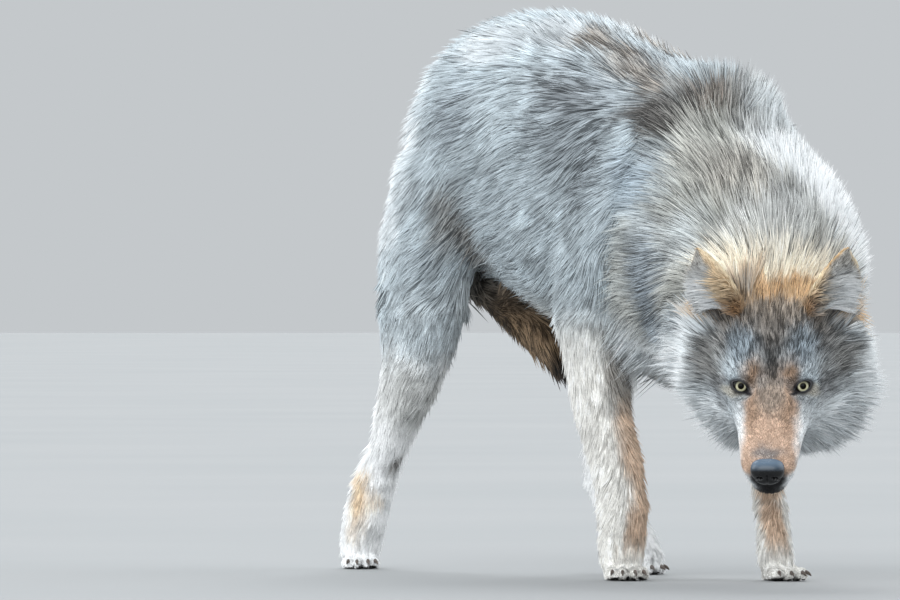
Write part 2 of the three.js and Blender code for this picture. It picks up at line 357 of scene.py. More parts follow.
def smoothed(values, edges, times, share=0.5):
    # each value drifts towards the mean of its neighbours
    count = len(values)
    a, b = edges[:, 0], edges[:, 1]
    degree = np.maximum(np.bincount(a, minlength=count) + np.bincount(b, minlength=count), 1)[:, None]
    flat = values.reshape(count, -1).astype(float)
    for _ in range(times):
        sums = [np.bincount(a, col[b], count) + np.bincount(b, col[a], count) for col in flat.T]
        flat = flat + share * (np.stack(sums, 1) / degree - flat)
    return flat.reshape(values.shape)


def coatDepth(points, family):
    head = toHead(points)
    side = np.abs(head[:, 0])
    depth = np.array([coats[name][0] for name in families], float)[family]
    isHead = family == headAt
    face = np.interp(head[:, 1], [-110, -40, -10, 40, 90, 150], [1.8, 2.5, 4, 9, 15, 20])
    cheek = ease(58, 100, side) * ease(-25, 40, head[:, 1]) * 12
    throat = ease(40, 100, -head[:, 2]) * ease(-30, 40, head[:, 1]) * 14
    depth = np.where(isHead, face + np.maximum(cheek, throat), depth)
    for sign in (1, -1):
        nearEye = 1 - ease(16, 40, np.linalg.norm(toLid(head, sign), axis=1))
        depth = depth + (1.6 - depth) * nearEye * isHead
        nearEar = 1 - ease(34, 62, np.linalg.norm(head - np.array(earPose["base"]) * (sign, 1, 1), axis=1))
        depth = depth + (np.minimum(depth, 4) - depth) * nearEar
    hind = ease(250, 400, points[:, 1] / mm) * ease(230, 330, points[:, 2] / mm)
    depth = depth + 9 * hind
    # soles lie on the floor itself
    low = 1 - ease(4, 14, points[:, 2] / mm)
    return depth * (1 - low * 0.85)


def buildSkinMesh():
    rough = newObject("rough", joinFlesh())
    remesh = rough.modifiers.new("remesh", "REMESH")
    remesh.mode = "VOXEL"
    remesh.voxel_size = skinSize["voxel"] * mm
    mesh = evaluated(rough)
    bpy.data.objects.remove(rough)

    points = readArray(mesh.vertices, "co", 3)
    edges = readArray(mesh.edges, "vertices", 2, np.int32)
    owner = ownersOf(points)
    family = np.array([familyOf[name] for name in fleshNames])[owner]
    soft = np.array([softness.get(name, 0.3) for name in families])
    share = smoothed(soft[family], edges, 6)[:, None]
    points = smoothed(points, edges, 40, share)
    depth = smoothed(coatDepth(points, family), edges, 14) * mm
    steps = 4
    for _ in range(steps):
        movePoints(mesh, points)
        normals = readArray(mesh.vertex_normals, "vector", 3)
        points = points - normals * depth[:, None] / steps
        points = smoothed(points, edges, 2, share)
    movePoints(mesh, points)

    # fewer faces, evenly
    thin = newObject("thin", mesh)
    decimate = thin.modifiers.new("thin", "DECIMATE")
    decimate.ratio = min(1, skinSize["faces"] / (2 * len(mesh.polygons)))
    made = evaluated(thin)
    bpy.data.objects.remove(thin)
    return made


def refine(mesh):
    # finer faces round the eyes and over the toes
    bm = bmesh.new()
    bm.from_mesh(mesh)
    eyes = [Vector(fromHead(fromLid((0, 0, 10), side))) for side in (1, -1)]
    toes = [Vector(middle(name)) for foot in footNames for name in clawNames(foot)]
    for places, reach in ((eyes + toes, 30), (eyes, 20)):
        chosen = set()
        for place in places:
            near = {v for v in bm.verts if (v.co - place).length < reach * mm}
            chosen |= {e for v in near for e in v.link_edges if e.other_vert(v) in near}
        chosen = sorted(chosen, key=lambda e: e.index)
        bmesh.ops.subdivide_edges(bm, edges=chosen, cuts=1, use_grid_fill=True)
        bm.edges.index_update()
    bmesh.ops.triangulate(bm, faces=[f for f in bm.faces if len(f.verts) > 4])
    bm.to_mesh(mesh)
    bm.free()


def shapeFace(mesh):
    head = toHead(readArray(mesh.vertices, "co", 3))
    inFace = (head[:, 1] < 30) & (np.abs(head[:, 0]) < 95) & (head[:, 2] > -60)
    for side in (1, -1):
        local = toLid(head, side)
        x, y, z = local.T
        front = inFace & (z > -4) & (np.abs(x) < 40) & (np.abs(y) < 34)
        e = slit(x, y)
        ball = np.sqrt(np.maximum(eyeRadius**2 - x**2 - y**2, (0.42 * eyeRadius) ** 2))
        inside = ball - 1.2 - 4 * (1 - np.minimum(e, 1))
        lid = ball + 0.9
        target = np.where(e < 1, inside, lid)
        hold = 1 - ease(1.05, 2.5, e)
        shaped = hold * target + (1 - hold) * z
        brow = np.exp(-(((x - 2) / 15) ** 2) - ((y - 15) / 5.5) ** 2)
        shaped = shaped + 2.6 * brow
        local[:, 2] = np.where(front, shaped, z)
        head = np.where(front[:, None], fromLid(local, side), head)
    # a shallow furrow up the forehead, and the groove of the lips
    furrow = np.exp(-((head[:, 0] / 7) ** 2)) * ease(-20, 10, head[:, 1]) * (1 - ease(60, 90, head[:, 1]))
    furrow = furrow * (head[:, 2] > -20)
    head[:, 2] -= 1.6 * furrow
    lipLine = np.exp(-(((head[:, 2] + 77) / 3.0) ** 2)) * (1 - ease(-50, -30, head[:, 1]))
    head[:, 0] -= np.sign(head[:, 0]) * 2.2 * lipLine * ease(4, 14, np.abs(head[:, 0]))
    movePoints(mesh, fromHead(head))


def shapeFeet(mesh):
    # clefts between the toes
    points = readArray(mesh.vertices, "co", 3)
    normals = readArray(mesh.vertex_normals, "vector", 3)
    for foot in footNames:
        across, ahead = footAxes(foot)
        claws = np.array([middle(name) for name in clawNames(foot)])
        local = (points - claws.mean(0)) / mm
        x, y, z = local @ across, local @ ahead, points[:, 2] / mm
        here = (np.abs(x) < 45) & (y > -60) & (y < 30) & (z < 60)
        columns = (claws - claws.mean(0)) @ across / mm
        for cleft in (columns[1:] + columns[:-1]) / 2:
            line = cleft * np.interp(y, [-45, 0], [0.75, 0.95])
            depth = 4.2 * np.exp(-(((x - line) / 2.6) ** 2)) * ease(-52, -26, y) * here
            points -= normals * (depth * mm)[:, None]
    points[:, 2] = np.maximum(points[:, 2], 0.3 * mm)
    movePoints(mesh, points)


skinMesh = buildSkinMesh()
refine(skinMesh)
shapeFace(skinMesh)
shapeFeet(skinMesh)
skinMesh.name = "skin"
skin = newObject("skin", skinMesh)
skinMesh.shade_smooth()
print("skin:", len(skinMesh.vertices), "points,", len(skinMesh.polygons), "faces")

# fields over the skin: lie, length, width, lift and density of the coat

points = readArray(skinMesh.vertices, "co", 3)
edges = readArray(skinMesh.edges, "vertices", 2, np.int32)
normals = readArray(skinMesh.vertex_normals, "vector", 3)
owner = ownersOf(points)
ownerName = np.array(fleshNames)[owner]
family = np.array([familyOf[name] for name in fleshNames])[owner]
world = points / mm
head = toHead(points)
headSide = np.abs(head[:, 0])
headSign = np.sign(head[:, 0])
rise = head[:, 1] * 0.588 + head[:, 2] * 0.809  # height above the eyes: the pitch's sine and cosine


def inFamily(*names):
    return np.isin(family, [families.index(name) for name in names])


onHead = inFamily("head", "lower_jaw")
onEar = inFamily("ear")
toLeft = (head[:, 0] > 0)[:, None]
earLocal = np.where(toLeft, toEar(head, 1), toEar(head, -1))
earFacing = np.where(toLeft, normals @ headAxes @ earAxes(1), normals @ headAxes @ earAxes(-1))
earInside = onEar * ease(-0.1, 0.35, -earFacing[:, 1])

tailLine = np.array([  # root to tip, mm in the wolf's own frame
    (27, 446, 560), (27, 466, 505), (27, 450, 448), (27, 400, 405),
    (23, 334, 378), (21, 264, 352), (21, 206, 318), (21, 170, 284),
], float)
neckWay = unit((0.2, 0.86, 0.42))  # from the head to the shoulders


def layCoat():
    down = np.array((0, 0, -1.0))
    flow = np.tile((0.0, 1.0, 0.0), (len(points), 1))
    sides = np.abs(normals[:, 0])
    flow[:, 2] = -0.12 - 0.42 * sides - 0.5 * ease(380, 470, world[:, 1])
    neck = inFamily("neck")
    low = 1 - ease(-0.6, 0.0, normals[:, 2])
    flow[neck] = (neckWay + down * (0.5 * sides + 0.5 * low)[:, None])[neck]
    legs = inFamily("upper_arm", "forearm", "thigh", "shin", "paw", "foot")
    flow[legs] = (0, 0.28, -1)
    upper = inFamily("upper_arm", "thigh")
    flow[upper] = (0, 0.62, -0.8)
    for name in footNames:
        mine = (ownerName == name) & (world[:, 2] < 50)
        toes = (1 - ease(16, 48, world[mine, 2]))[:, None]
        flow[mine] += toes * (footAxes(name)[1] * 0.9 + down * 0.5 - flow[mine])
    tail = inFamily("tail")
    steps = unit(np.diff(tailLine, axis=0))
    halfway = tailLine[:-1] + steps * 25
    nearest = np.argmin(np.linalg.norm(world[tail][:, None] - halfway, axis=2), axis=1)
    flow[tail] = steps[nearest]

    # the face: away from the nose, fanning outwards over cheeks and ruff
    away = unit(head - (0, -128, -38))
    fan = ease(50, 90, headSide) * ease(-30, 50, head[:, 1])
    away[:, 0] += headSign * 1.1 * fan
    away[:, 2] -= 0.75 * fan * ease(-60, 20, -head[:, 2])
    away[:, 2] -= 0.35 * ease(50, 90, -head[:, 2])
    for side in (1, -1):
        local = toLid(head, side)
        reach = np.linalg.norm(local[:, :2] / (1.35, 1), axis=1)
        near = 1 - ease(11, 22, reach)
        ring = unit(local * (1, 1, 0)) @ lidAxes(side).T
        away = away * (1 - near[:, None]) + ring * near[:, None] * 1.2
    flow[onHead] = (away @ headAxes.T)[onHead]

    # ears: towards the tip; inside, across the cup from its inner edge
    for side in (1, -1):
        here = onEar & (np.sign(head[:, 0]) == side)
        toTip = np.array((side * 0.25, 0, 1.0)) @ earAxes(side).T @ headAxes.T
        acrossCup = np.array((side * 0.9, -0.25, 0.35)) @ earAxes(side).T @ headAxes.T
        mix = (earInside * (1 - ease(60, 85, earLocal[:, 2])))[here][:, None]
        flow[here] = toTip * (1 - mix) + acrossCup * mix

    flow = unit(flow - normals * np.sum(flow * normals, 1, keepdims=True))
    for _ in range(3):
        flow = smoothed(flow, edges, 6)
        flow = unit(flow - normals * np.sum(flow * normals, 1, keepdims=True))
    # slow swirls, as wind and movement leave them
    calm = np.where(onHead | onEar, 0.35, 1.0)
    swirl = (0.26 * wobble(140, 8) + 0.16 * wobble(55, 9)) * calm
    across = np.cross(normals, flow)
    return flow * np.cos(swirl)[:, None] + across * np.sin(swirl)[:, None]


def wobble(size, seed):
    # smooth random waves over the body, about -1 to 1
    turn = np.random.default_rng(seed)
    total = np.zeros(len(points))
    for _ in range(5):
        total += np.sin(world @ (unit(turn.normal(size=3)) * 2 * math.pi / size) + turn.uniform(0, 6.3))
    return total / 2.5


def coatFields():
    # length, width, lift and density of the tufts, and how far loose ones stand out, mm
    shape = np.array([coats[name][1:] for name in families], float)[family]
    isHead, back = inFamily("head"), head[:, 1]

    def blend(mask, *goals):
        for k, goal in enumerate(goals):
            if goal is not None:
                shape[:, k] += mask * (goal - shape[:, k])

    # the face's hair grows longer and thinner-set from the nose backwards
    behind = [
        ([-112, -60, -20, 20, 70, 130], [2.8, 4.0, 6.5, 13, 21, 32]),
        ([-112, -40, 20, 120], [0.5, 0.6, 0.75, 0.95]),
        ([-112, -40, 20, 120], [0.12, 0.18, 0.32, 0.46]),
        ([-112, -40, 0, 40, 120], [230, 170, 105, 60, 34]),
    ]
    for k, (marks, values) in enumerate(behind):
        shape[isHead, k] = np.interp(back[isHead], marks, values)
    ruff = ease(56, 92, headSide) * ease(-20, 50, back) * onHead
    under = ease(55, 100, -head[:, 2]) * ease(-40, 30, back) * onHead
    blend(np.maximum(ruff, under), 54, 1.0, 0.55, 32)
    for side in (1, -1):
        near = (1 - ease(13, 28, np.linalg.norm(toLid(head, side), axis=1))) * isHead
        blend(near, 3.0, 0.5, 0.16, 190)
    # ear: longer hair across the cup, a bushy foot
    cup = earInside * (1 - ease(56, 80, earLocal[:, 2])) * (1 - ease(14, 26, earLocal[:, 0]))
    blend(cup, 30, 1.0, 0.5, 42)
    foot = onEar * (1 - ease(-6, 14, earLocal[:, 2])) * (1 - earInside)
    blend(foot, 20, None, 0.5)
    # hackles stand up over the withers; the hair thins between the toes
    withers = np.exp(-(((world[:, 0] - 24) / 46) ** 2) - ((world[:, 1] + 240) / 46) ** 2)
    withers = withers * ease(540, 590, world[:, 2])
    shape[:, 0] += withers * 40
    shape[:, 2] += withers * 0.9
    toes = inFamily("paw", "foot") * (1 - ease(18, 44, world[:, 2]))
    blend(toes, 7, 0.7, None, 75)
    length, width, lift, density = smoothed(shape, edges, 7).T

    # bare places: eye slits, nose, lips, soles
    bare = np.ones(len(points))
    for side in (1, -1):
        local = toLid(head, side)
        bare *= np.where((local[:, 2] > -5) & onHead, ease(1.2, 1.36, slit(local[:, 0], local[:, 1])), 1)
    nose = np.linalg.norm((head - (0, -124, -51)) / (22, 15, 17), axis=1)
    bare *= ease(1.0, 1.12, nose)
    lips = np.linalg.norm((head - (0, -122, -74)) / (15, 14, 9), axis=1)
    bare *= ease(0.85, 1.0, lips)
    bare *= 1 - (world[:, 2] < 5) * (normals[:, 2] < -0.8)
    # close to the outline behind the thighs, longer and looser over the jowls
    hind = inFamily("trunk", "thigh", "shin", "tail") * ease(250, 400, world[:, 1])
    hind = hind * ease(0.0, 0.6, 0.8 * normals[:, 1] - 0.6 * normals[:, 0]) * ease(230, 330, world[:, 2])
    jowl = onHead * ease(30, 60, headSide) * ease(10, 50, -head[:, 2]) * (head[:, 1] > -10)
    loose = 1.5 + withers * 42 - hind * 15 + jowl * 20 + cup * 12
    return length + jowl * 10, width, lift, density * bare, loose


flow = layCoat()
length, width, lift, density, loose = coatFields()
print("coat laid out")

# markings, shared by the skin and the coat

# coat colours at each point: the roots carry each mark's own tone and are kept darker than the tips
# throughout, as painted shade deep in the coat
tipColour = np.tile(linear("c4ced3"), (len(points), 1))
rootColour = np.tile(linear("7b848b"), (len(points), 1))
darkShare = np.full(len(points), 0.14)  # of all tufts, how many are dark

drift = np.stack([wobble(60, 1), wobble(55, 2), wobble(50, 3)], 1)
coatDeep = np.array([coats[name][0] for name in families], float)[family]
# marks are set where a tuft covers the outline, not where it is rooted
body = world + drift * 12 + flow * length[:, None] * 0.5 + normals * coatDeep[:, None] * 0.8
body[:, 0] -= middleX
bodySide = np.stack([np.abs(body[:, 0]), body[:, 1], body[:, 2]], 1)
mane = smoothed(inFamily("neck"), edges, 50)
high = world[:, 2]

faceSide = headSide + wobble(22, 4) * 2.5
faceUp = rise + wobble(20, 5) * 2.8
flat = np.stack([faceSide, faceUp], 1)
front = onHead * (1 - ease(30, 60, head[:, 1] - 0.2 * faceUp))


def spot(places, centre, radii, soft):
    away = np.linalg.norm((places - np.array(centre, float)) / np.array(radii, float), axis=1)
    return 1 - ease(1 - soft, 1 + soft, away)


def paint(mask, tipCode, rootCode, share):
    mask = np.clip(mask.astype(float), 0, 1)
    tipColour[:] += mask[:, None] * (linear(tipCode) - tipColour)
    rootColour[:] += mask[:, None] * (linear(rootCode) - rootColour)
    darkShare[:] += mask * (share - darkShare)


def paintSpots(mask, places, rows):
    # each row: centre, radii, softness of the edge, colour of tips and of roots, share of dark tufts
    for centre, radii, soft, *look in rows:
        paint(mask * spot(places, centre, radii, soft), *look)


def paintBody():
    # silver with a dusky saddle and a brown edge to the cape; a pale rump, partly painted rim light; cream
    # below
    trunk = inFamily("trunk", "upper_arm", "thigh", "tail", "neck")
    torso = inFamily("trunk", "thigh")
    shoulder = inFamily("upper_arm", "trunk", "neck", "forearm")
    paint(mane, "c6c6c0", "75756f", 0.22)
    paintSpots(trunk, bodySide, [
        ((141, -25, 615), (50, 84, 46), 0.7, "a1a9ae", "5c6267", 0.32),
        ((145, 245, 636), (50, 50, 44), 0.7, "aab3b9", "666e74", 0.22),
        ((118, -20, 668), (36, 86, 34), 0.8, "a3a9ae", "43484c", 0.44),
        ((152, -83, 550), (40, 44, 60), 0.8, "9aa2a7", "454b50", 0.44),
        ((60, 95, 744), (46, 70, 34), 0.5, "d5dadd", "949ba0", 0.12),
        ((100, 209, 732), (46, 70, 34), 0.5, "d5dadd", "949ba0", 0.12),
    ])
    paintSpots(shoulder, bodySide, [
        ((146, -205, 535), (46, 56, 56), 0.5, "b9c5cd", "67717a", 0.2),
        ((174, -255, 420), (60, 52, 66), 0.5, "b0b9c0", "4f565c", 0.4),
        ((166, -262, 345), (60, 46, 60), 0.6, "a9b3bb", "4f575e", 0.38),
    ])
    for place in ((42, 25, 732), (43, -35, 714), (58, -90, 692), (71, -142, 671)):
        paint(trunk * spot(bodySide, place, (28, 36, 30), 0.6), "a59d94", "57504a", 0.42)
    for place in ((108, -158, 632), (98, -196, 616), (60, -200, 650)):
        paint(trunk * spot(bodySide, place, (26, 34, 28), 0.6), "726f6c", "302d2b", 0.55)
    paint(trunk * spot(bodySide, (38, -212, 655), (24, 24, 28), 0.6), "a89c92", "5c544d", 0.36)
    paint(trunk * spot(body, (8, -225, 657), (34, 28, 34), 0.5), "8d8a86", "34312e", 0.5)
    paintSpots(torso, bodySide, [
        ((135, 254, 490), (36, 32, 44), 0.7, "a6a8a7", "4a4a49", 0.44),
        ((104, 240, 445), (30, 28, 44), 0.7, "aaa8a4", "504d49", 0.42),
    ])
    # the rump's top painted nearly white: partly its own pale hair, partly painted rim light along the back's
    # outline
    paint(torso * ease(320, 400, body[:, 1]) * ease(400, 500, body[:, 2]), "f2f6f8", "b9c2c8", 0.03)
    belly = torso * (1 - ease(310, 400, body[:, 2])) * (1 - ease(120, 150, bodySide[:, 0]))
    paint(belly, "d5d0c6", "9a948a", 0.08)


def paintMane():
    # grey cream with a brown-grey nape; the left side is painted lighter, partly silver hair and partly
    # painted rim light
    paint(mane * spot(bodySide, (142, -344, 508), (46, 80, 70), 0.5), "babbb5", "6c6c67", 0.26)
    paintSpots(mane, body, [
        ((-168, -336, 468), (36, 36, 44), 0.7, "cdd2d3", "848a8c", 0.16),
        ((-50, -425, 500), (44, 50, 44), 0.7, "d2d4d3", "888a89", 0.16),
        ((-79, -350, 547), (52, 60, 44), 0.7, "d0ccc4", "6d6862", 0.38),
        ((-108, -432, 468), (70, 50, 46), 0.5, "dadbd9", "95968f", 0.1),
    ])
    # the mane's left side is painted lighter, near white at the front: partly its own silver hair, partly
    # painted rim light along the neck's outline
    silverAndRimLight = ease(-36, 24, body[:, 0] + 0.35 * (body[:, 1] + 400)) * (1 - ease(-320, -250, body[:, 1]))
    paint(mane * silverAndRimLight, "f8fafb", "c9d0d4", 0.05)
    paint(mane * ease(-30, 30, body[:, 0]) * ease(-320, -250, body[:, 1]), "dde2e4", "a2a9ad", 0.12)
    paint(mane * ease(30, 90, -head[:, 2]), "eaeef0", "a9b1b6", 0.08)


def paintLegs():
    # white, tan down the inner and front faces of the forelegs and behind the hocks
    lower = smoothed(inFamily("forearm", "shin", "paw", "foot"), edges, 180)
    foreLeg = inFamily("upper_arm", "forearm", "paw")
    hindLeg = inFamily("shin", "thigh", "foot")
    arm = smoothed(inFamily("upper_arm"), edges, 50)
    paint(arm * (1 - ease(350, 430, high)), "ccd3d6", "949b9e", 0.1)
    paint(lower * (1 - ease(250, 380, high)), "fbfbfa", "e4e2dd", 0.01)
    # painted light and shade: the lower hind legs are painted whiter, lifting them out of the body's shadow,
    # and the lower forelegs a little darker, as painted shade where the lamps light them more; the forelegs
    # keep a faint buff tone
    paint(hindLeg * lower * (1 - ease(150, 290, high)), "feffff", "f6f7f7", 0)
    paint(foreLeg * lower * (1 - ease(330, 400, high)), "eeece7", "cfccc6", 0.03)
    inner = np.where(np.char.endswith(ownerName.astype(str), "left"), -1.0, 1.0)
    facing = normals[:, 0] * inner * 0.5 - normals[:, 1] * 0.87
    foreTan = inFamily("forearm", "paw") * ease(0.5, 0.85, facing + 0.12 * drift[:, 0])
    foreTan = foreTan * ease(34, 70, high) * (1 - ease(230, 330, high))
    paint(foreTan * 0.9, "d6b99f", "b3957b", 0.05)
    dusk = inFamily("forearm", "upper_arm") * ease(0.4, 0.9, facing) * ease(220, 280, high)
    paint(dusk * (1 - ease(360, 420, high)), "a09d98", "6a6762", 0.25)
    paint(hindLeg * spot(bodySide, (110, 392, 237), (60, 50, 44), 0.6) * 0.7, "c3c4c1", "8e8f8d", 0.12)
    paintSpots(hindLeg, bodySide, [
        ((125, 320, 345), (60, 70, 60), 0.5, "ccd4d8", "949da2", 0.12),
        ((118, 512, 92), (26, 24, 46), 0.6, "ecd5b8", "c9ad8c", 0.02),
        ((80, 445, 140), (14, 24, 16), 0.6, "8f8b87", "55514e", 0.3),
    ])


def paintTail():
    # grey above, brown towards a black tip
    tail = inFamily("tail")
    paint(tail, "b3b0aa", "6d6863", 0.3)
    paint(tail * (1 - ease(350, 430, high)), "957e64", "584a3c", 0.38)
    paint(tail * (1 - ease(290, 335, high)), "352c27", "1d1815", 0.85)


def paintForehead():
    # grizzled, with a dark line between the eyes and cinnamon, then cream, over the crown
    crown = np.maximum(onHead, mane * (1 - ease(150, 200, head[:, 1]))) * (head[:, 2] > 0)
    narrow = 1 - ease(54, 74, faceSide)
    paint(onHead, "bcc3c7", "6a7074", 0.16)
    paint(onHead * ease(16, 50, faceUp) * (1 - ease(60, 80, faceSide)), "9a948e", "423f3c", 0.5)
    paint(onHead * spot(flat, (38, 42), (20, 22), 0.5), "9ba6ae", "485056", 0.4)
    paint(onHead * ease(62, 84, faceUp) * narrow, "b9ada0", "5c5249", 0.42)
    paint(crown * ease(88, 103, faceUp) * narrow * (1 - ease(128, 146, faceUp)), "dfbd94", "a08263", 0.14)
    cream = crown * ease(115, 128, faceUp) * (1 - ease(66, 90, faceSide)) * (1 - ease(142, 164, faceUp))
    paint(cream, "fff8e9", "e6d5b8", 0.01)
    paintSpots(front, flat, [
        ((0, 16), (9.0, 30), 0.7, "332f2d", "191716", 0.68),
        ((62, -6), (22, 30), 0.5, "c2cbd0", "7d868c", 0.1),
        ((24, 9), (13, 15), 0.8, "9b816b", "65503f", 0.2),
        ((50, -10), (14, 10), 0.5, "b5b2a8", "7c7871", 0.1),
    ])


def paintMuzzle():
    # white, with a cinnamon bridge and a dark flecked line from the eye over the cheek
    paint(onHead * (1 - ease(-70, -18, head[:, 1])), "eff1f2", "cdd1d4", 0.03)
    bridge = (1 - ease(26, 42, faceSide + 0.08 * (faceUp + 60))) * ease(-64, -54, head[:, 2])
    paint(front * bridge * (1 - ease(-24, -2, faceUp)), "cdb19c", "a98c77", 0.05)
    paintSpots(front, flat, [
        ((22, -34), (10, 26), 0.6, "ad9079", "7a6452", 0.1),
        ((0, -20), (20, 22), 0.6, "a8988a", "72655a", 0.16),
        ((0, -92), (20, 9), 0.5, "9a9390", "726b68", 0.08),
    ])
    for centre, radii in (((62, 4), (7, 4)), ((66, -8), (4.5, 12)), ((60, -28), (5, 10))):
        paint(front * spot(flat, centre, radii, 0.7) * 0.85, "646568", "37383a", 0.3)
    paint(front * spot(flat, (42, -26), (11, 8), 0.6) * 0.5, "7d7d7d", "4b4b4c", 0.2)


def paintCheeks():
    # brown inside a white ruff
    ruff = np.maximum(onHead, mane)
    ahead = 1 - ease(170, 200, head[:, 1])
    paint(onHead * spot(flat, (75, 26), (13, 33), 0.6) * (head[:, 1] < 90), "8f8f8d", "52514f", 0.34)
    paint(onHead * spot(flat, (84, 88), (12, 18), 0.4), "e0c09a", "a88a64", 0.04)
    outer = faceSide + 7 * (head[:, 0] > 0) * ease(40, 0, faceUp)
    edge = ruff * ease(82, 94, outer) * (1 - ease(56, 82, faceUp)) * ease(10, 36, head[:, 1])
    paint(edge * ahead, "f6f9fa", "c4cdd2", 0.02)
    # painted light: the lower ruff on the left side only is painted lighter, lifting it out of the shade
    # beneath the jaw
    paint(ruff * (head[:, 0] > 0) * spot(flat, (86, -62), (34, 44), 0.5) * ahead, "dbdedf", "9ea2a4", 0.1)
    # the underside of the jaw painted near white: its own white hair, pushed lighter as painted light in the
    # shade beneath the head
    paint(onHead * ease(22, 50, -head[:, 2]) * ease(-30, 10, head[:, 1]), "eef2f4", "bbc4c9", 0.04)


def paintBareSkin():
    # black lips, nose and eyelids
    paint(onHead * spot(head, (0, -108, -86), (26, 30, 10), 0.4), "1b191b", "100f10", 0)
    paint(onHead * spot(head, (0, -124, -62), (24, 15, 20), 0.15), "17151a", "0f0e10", 0)
    for sign in (1, -1):
        local = toLid(head, sign)
        rim = (1 - ease(1.2, 1.5, slit(local[:, 0], local[:, 1]))) * (local[:, 2] > -4)
        duct = spot(local[:, :2], (-14.0, -4.5), (5.5, 2.8), 0.35) * (local[:, 2] > -8)
        paint(onHead * np.maximum(rim, duct), "2b2a2e", "141316", 0)


def paintEars():
    # tan back, cream edge, dark cup with pale hair across it
    leafWidth = np.interp(earLocal[:, 2], [-18, 14, 48, 80, 102], [31.5, 35, 33, 23, 8])
    across = earLocal[:, 0] / leafWidth
    paint(onEar, "d8b98e", "9c7a52", 0.06)
    paint(onEar * ease(75, 100, earLocal[:, 2]), "cfae80", "94724c", 0.1)
    paint(onEar * (1 - earInside) * (1 - ease(14, 46, earLocal[:, 2])), "b39878", "6c5946", 0.24)
    # the cup's grey and its pale hair are painted lighter than their own tone, as painted light against the
    # shade in the hollow of the ear
    paint(earInside, "b0aca5", "66615b", 0.12)
    pale = (1 - ease(52, 94, earLocal[:, 2] + 6 * drift[:, 0])) * (1 - ease(0.35, 0.8, across))
    paint(earInside * pale * ease(-0.75, -0.5, across), "fcfeff", "c9cdcf", 0.0)
    paint(earInside * (1 - ease(-0.9, -0.7, across)), "b08a63", "5d4a3a", 0.08)
    rim = onEar * ease(0.68, 0.86, np.abs(across)) * ease(16, 46, earLocal[:, 2])
    paint(rim * (1 - 0.35 * earInside), "f7e6c8", "d3b68e", 0.0)


def paintPads():
    paint(inFamily("paw", "foot") * (high < 5) * (normals[:, 2] < -0.7), "3a3634", "262322", 0)


paintBody()
paintMane()
paintLegs()
paintTail()
paintForehead()
paintMuzzle()
paintCheeks()
paintBareSkin()
paintEars()
paintPads()
tipColour, rootColour, darkShare = (smoothed(field, edges, 1) for field in (tipColour, rootColour, darkShare))


def addColour(mesh, colours):
    layer = mesh.color_attributes.new(name="coat", type="FLOAT_COLOR", domain="POINT")
    full = np.ones((len(colours), 4), np.float32)
    full[:, :3] = colours
    layer.data.foreach_set("color", full.ravel())


# painted shade: the skin shows only between the tufts, so it takes the roots' colour darkened further, for
# the shade deep in the coat
addColour(skinMesh, rootColour * 0.75 + tipColour * 0.1)
print("markings painted")


def markedCoat(tree, shade):
    # the coat's markings, made lighter and darker by a pattern
    colour = addNode(tree, "ShaderNodeAttribute", attribute_name="coat")
    tone = addNode(tree, "ShaderNodeMix", data_type="RGBA", blend_type="MULTIPLY")
    tone.inputs["Factor"].default_value = 1.0
    tree.links.new(colour.outputs["Color"], tone.inputs["A"])
    tree.links.new(shade.outputs["Result"], tone.inputs["B"])
    return "Base Color", tone.outputs["Result"]


def makeFur():
    # keratin hair in tufts: matt to silky strands, each a little lighter or darker along it
    made, tree = newMaterial("wolf_hair")
    place = addNode(tree, "ShaderNodeTexCoord")
    streak = addNode(tree, "ShaderNodeTexNoise", [("Vector", place.outputs["Object"])], Scale=420.0)
    shade = addNode(tree, "ShaderNodeMapRange", [("Value", streak.outputs["Fac"])], To_Min=0.78, To_Max=1.22)
    gloss = addNode(tree, "ShaderNodeMapRange", [("Value", streak.outputs["Fac"])], To_Min=0.5, To_Max=0.75)
    bump = addNode(tree, "ShaderNodeBump", [("Height", streak.outputs["Fac"])],
                   Strength=0.25, Distance=0.0004)
    links = [markedCoat(tree, shade), ("Roughness", gloss.outputs["Result"]), ("Normal", bump.outputs[0])]
    return finishMaterial(tree, made, links, Specular_IOR_Level=0.25, Sheen_Weight=0.05, Sheen_Roughness=0.4)


def makeHide():
    # skin under dense wool: matt, mottled, with the fine grain of short underfur
    made, tree = newMaterial("hide_with_underfur")
    place = addNode(tree, "ShaderNodeTexCoord")
    wool = addNode(tree, "ShaderNodeTexNoise", [("Vector", place.outputs["Object"])], Scale=550.0, Detail=4.0)
    shade = addNode(tree, "ShaderNodeMapRange", [("Value", wool.outputs["Fac"])], To_Min=0.6, To_Max=1.3)
    bump = addNode(tree, "ShaderNodeBump", [("Height", wool.outputs["Fac"])], Strength=0.6, Distance=0.001)
    links = [markedCoat(tree, shade), ("Normal", bump.outputs[0])]
    return finishMaterial(tree, made, links, Roughness=0.8, Specular_IOR_Level=0.25)


hair = makeFur()
skinMesh.materials.append(makeHide())
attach(skin, "root")
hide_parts(*[name for name in fleshNames if not name.startswith(("eye", "nose"))])

# coat: closed spindles, tips drawn together in locks

coatShape = {
    "tufts": 355000,  # in all
    "lock": 8,  # tufts drawn to one tip
    "tress": 90,  # tufts in a wider lock
    "gather": 0.5,  # how far a tip is drawn to its lock's
    "sway": 0.22,  # and to its tress's
    "belly": 0.42,  # where a tuft is widest
    "sink": 1.0,  # mm its root lies under the skin
    "guard": 0.12,  # share of long thin guard hairs
    "patch": 0.003,  # size of one tuft on the unwrapped skin
}
spindle = np.array([(0, 2, 1), (1, 2, 3), (0, 1, 3), (0, 3, 2)])


